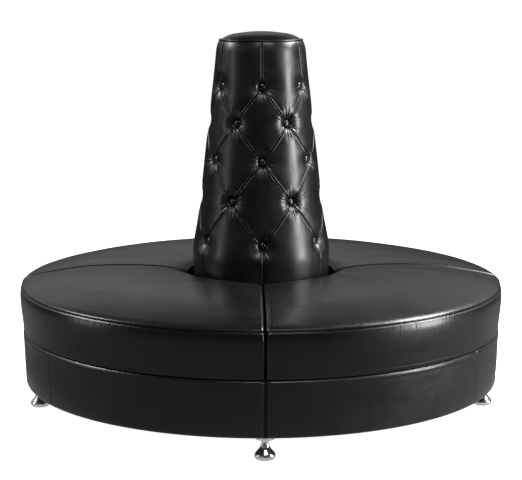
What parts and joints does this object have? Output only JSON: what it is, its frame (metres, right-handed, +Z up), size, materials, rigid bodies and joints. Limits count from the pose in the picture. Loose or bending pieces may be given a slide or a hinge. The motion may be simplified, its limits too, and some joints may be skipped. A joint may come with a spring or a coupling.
{
  "type": "circular banquette",
  "caption": "Round ring seat in black leather with a tall diamond-tufted cone in the middle, on chrome feet.",
  "frame": {"origin": "on the floor under the axis of the column", "axes": "+Z up along the column, -Y to the front, the halves part on the plane Y = 0"},
  "size_m": [1.6596, 1.6596, 1.26],
  "materials": {
    "leather": "black semi-gloss leather",
    "welt_leather": "black leather piping",
    "button_leather": "black leather button",
    "foam": "open cell foam",
    "plywood": "birch plywood",
    "chrome": "polished chrome",
    "steel": "zinc plated steel",
    "glide": "black plastic",
    "twine": "waxed twine"
  },
  "bodies": {
    "rear_half": {"rear_base_cover_left": "leather", "rear_base_cover_right": "leather", "rear_bottom_board": "plywood", "rear_deck_board": "plywood", "rear_end_covers": "leather", "rear_end_panels": "plywood", "rear_foot_1": "chrome", "rear_foot_2": "chrome", "rear_foot_3": "chrome", "rear_foot_4": "chrome", "rear_foot_5": "chrome", "rear_inner_skin": "plywood", "rear_left_seat_board": "plywood", "rear_left_seat_cover": "leather", "rear_left_seat_foam": "foam", "rear_outer_skin": "plywood", "rear_pins": "steel", "rear_ribs": "plywood", "rear_right_seat_board": "plywood", "rear_right_seat_cover": "leather", "rear_right_seat_foam": "foam", "rear_seat_screws": "steel", "rear_tee_nuts": "steel"},
    "front_half": {"front_base_cover_left": "leather", "front_base_cover_right": "leather", "front_bottom_board": "plywood", "front_deck_board": "plywood", "front_end_covers": "leather", "front_end_panels": "plywood", "front_foot_1": "chrome", "front_foot_2": "chrome", "front_foot_3": "chrome", "front_foot_4": "chrome", "front_foot_5": "chrome", "front_inner_skin": "plywood", "front_left_seat_board": "plywood", "front_left_seat_cover": "leather", "front_left_seat_foam": "foam", "front_outer_skin": "plywood", "front_pin_sockets": "steel", "front_ribs": "plywood", "front_right_seat_board": "plywood", "front_right_seat_cover": "leather", "front_right_seat_foam": "foam", "front_seat_screws": "steel", "front_tee_nuts": "steel"},
    "column": {"button_ties": "twine", "cap_board": "plywood", "cap_cover": "leather", "cap_foam": "foam", "cap_welt": "welt_leather", "column_cover": "leather", "column_foam": "foam", "column_formers": "plywood", "column_glides": "glide", "column_plinth_board": "plywood", "column_plinth_drum": "plywood", "column_posts": "plywood", "column_shell": "plywood", "tufting_buttons": "button_leather"}
  },
  "joints": [
    {"name": "front_half_slide", "type": "slide", "parent": "rear_half", "child": "front_half", "axis": [0, -1, 0], "range_m": [0, 0.45]},
    {"name": "column_lift", "type": "slide", "parent": "rear_half", "child": "column", "axis": [0, 0, 1], "range_m": [0, 0.5]}
  ]
}
